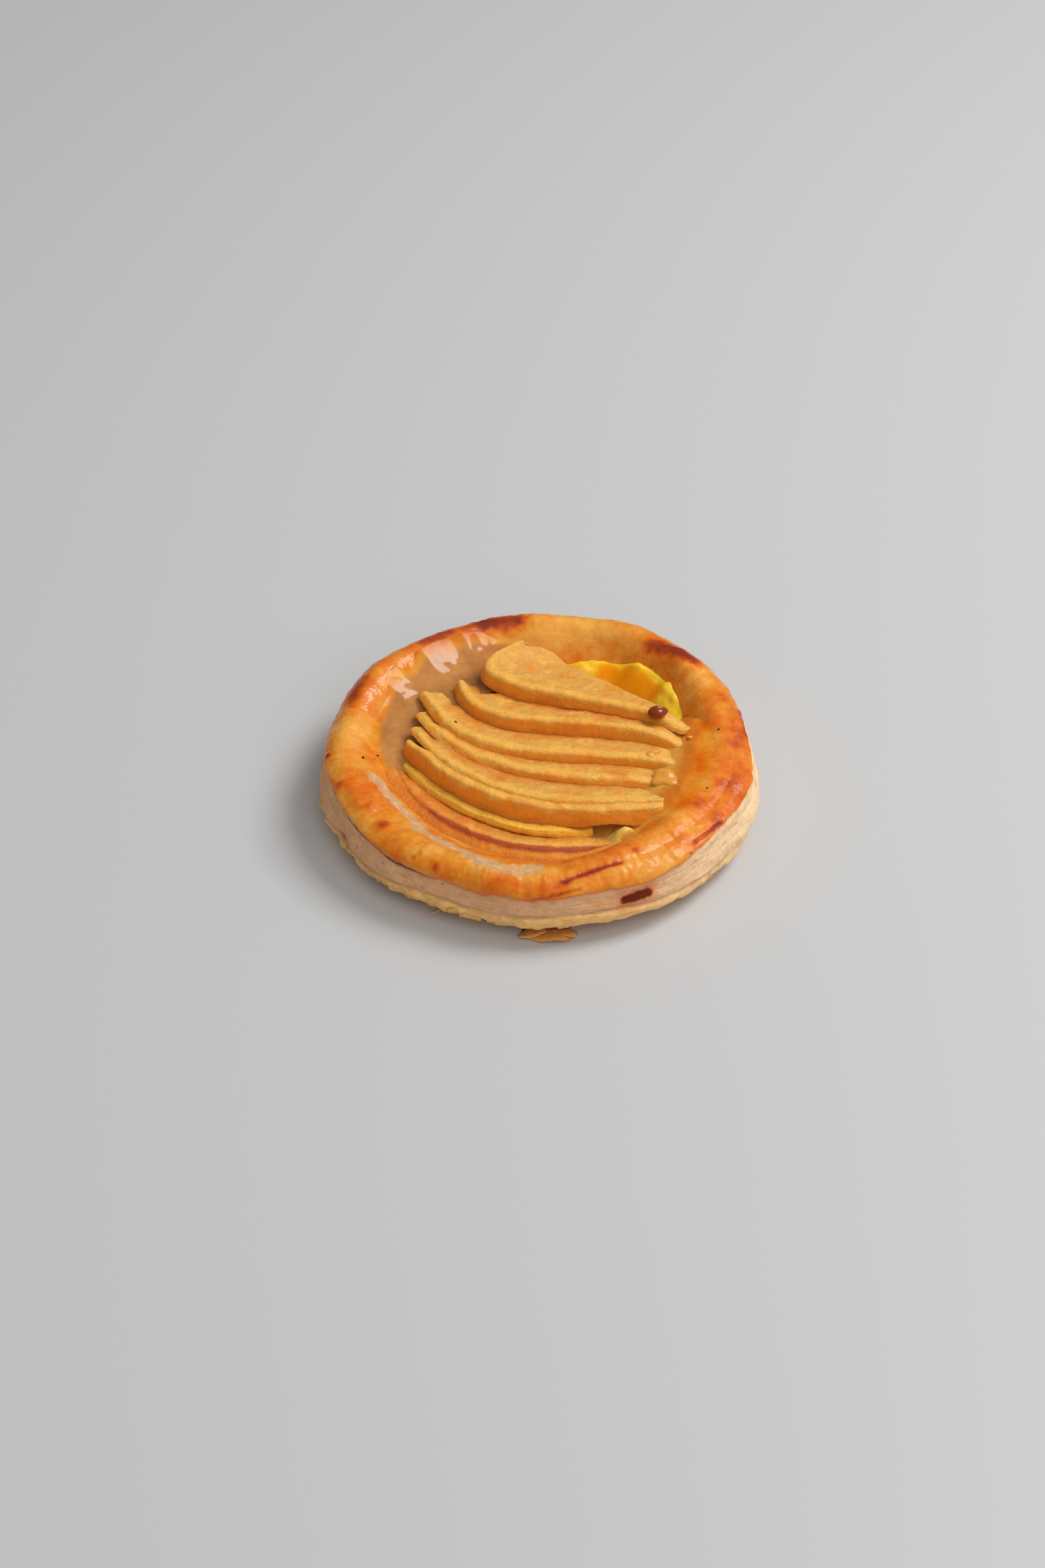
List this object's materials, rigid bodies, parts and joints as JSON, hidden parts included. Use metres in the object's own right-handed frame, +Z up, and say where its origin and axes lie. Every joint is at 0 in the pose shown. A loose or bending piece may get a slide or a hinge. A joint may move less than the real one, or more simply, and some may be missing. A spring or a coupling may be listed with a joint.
{
  "type": "apple tart",
  "caption": "Round puff pastry tart with a raised glazed rim, a custard layer and a shingled fan of baked apple slices on top, one with a pip",
  "frame": {"origin": "centre of the bounding box in plan, on the surface that the tart stands on", "axes": "+Z up; -Y is the front, where the fan of slices starts; +Y is the back, where the last slice lies; +X is right"},
  "size_m": [0.1098, 0.11, 0.0231],
  "materials": {
    "pastry": "glazed baked puff pastry, satin to glossy",
    "custard": "glossy set custard",
    "apple_flesh": "moist baked apple, satin",
    "pip": "glossy seed coat"
  },
  "bodies": {
    "root": {"pastry": "pastry", "custard": "custard", "apple_slice_1": "apple_flesh", "apple_slice_2": "apple_flesh", "apple_slice_3": "apple_flesh", "apple_slice_4": "apple_flesh", "apple_slice_5": "apple_flesh", "apple_slice_6": "apple_flesh", "apple_slice_7": "apple_flesh", "apple_slice_8": "apple_flesh", "pip": "pip"}
  },
  "joints": []
}
